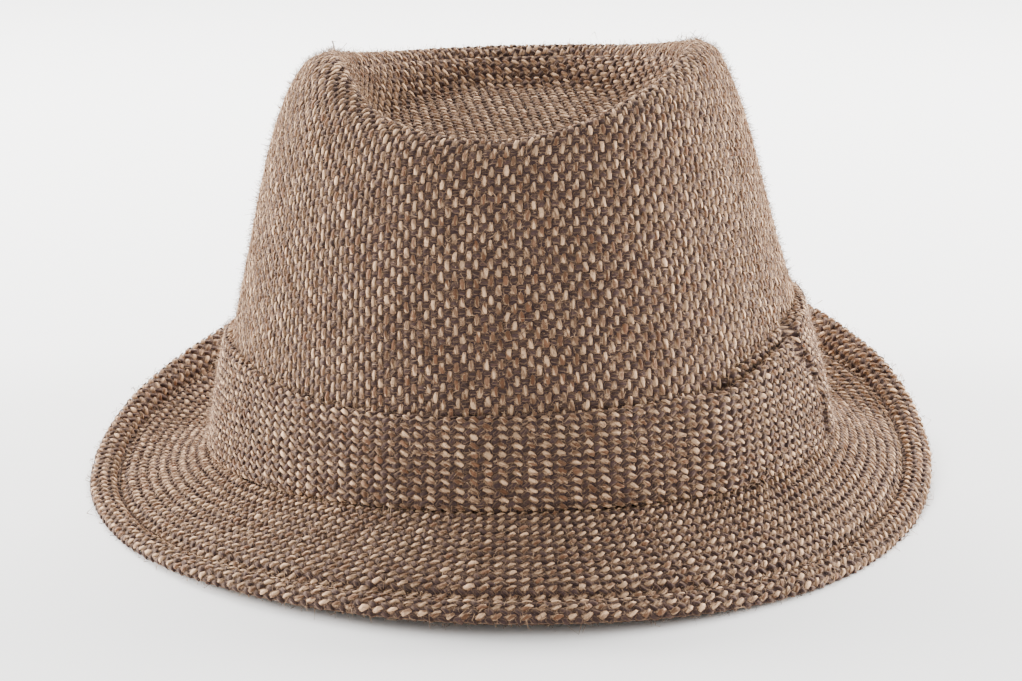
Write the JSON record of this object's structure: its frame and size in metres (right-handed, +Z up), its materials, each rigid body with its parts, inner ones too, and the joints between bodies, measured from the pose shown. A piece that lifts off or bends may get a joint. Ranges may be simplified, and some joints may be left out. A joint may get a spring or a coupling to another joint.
{
  "type": "trilby hat",
  "caption": "Tweed trilby with an oval dent pressed into its crown, a bias-cut cloth band lapped at the wearer's left, and a stitched brim turned up behind.",
  "frame": {"origin": "on the table, under the middle of the hat's bounding box", "axes": "+Z up, the front of the hat faces -Y, the wearer's left is +X"},
  "size_m": [0.2408, 0.2848, 0.1264],
  "materials": {
    "tweed": "coarse plain-weave wool tweed, matt"
  },
  "bodies": {
    "root": {"crown_side": "tweed", "crown_tip": "tweed", "brim": "tweed", "hat_band": "tweed"}
  },
  "joints": []
}
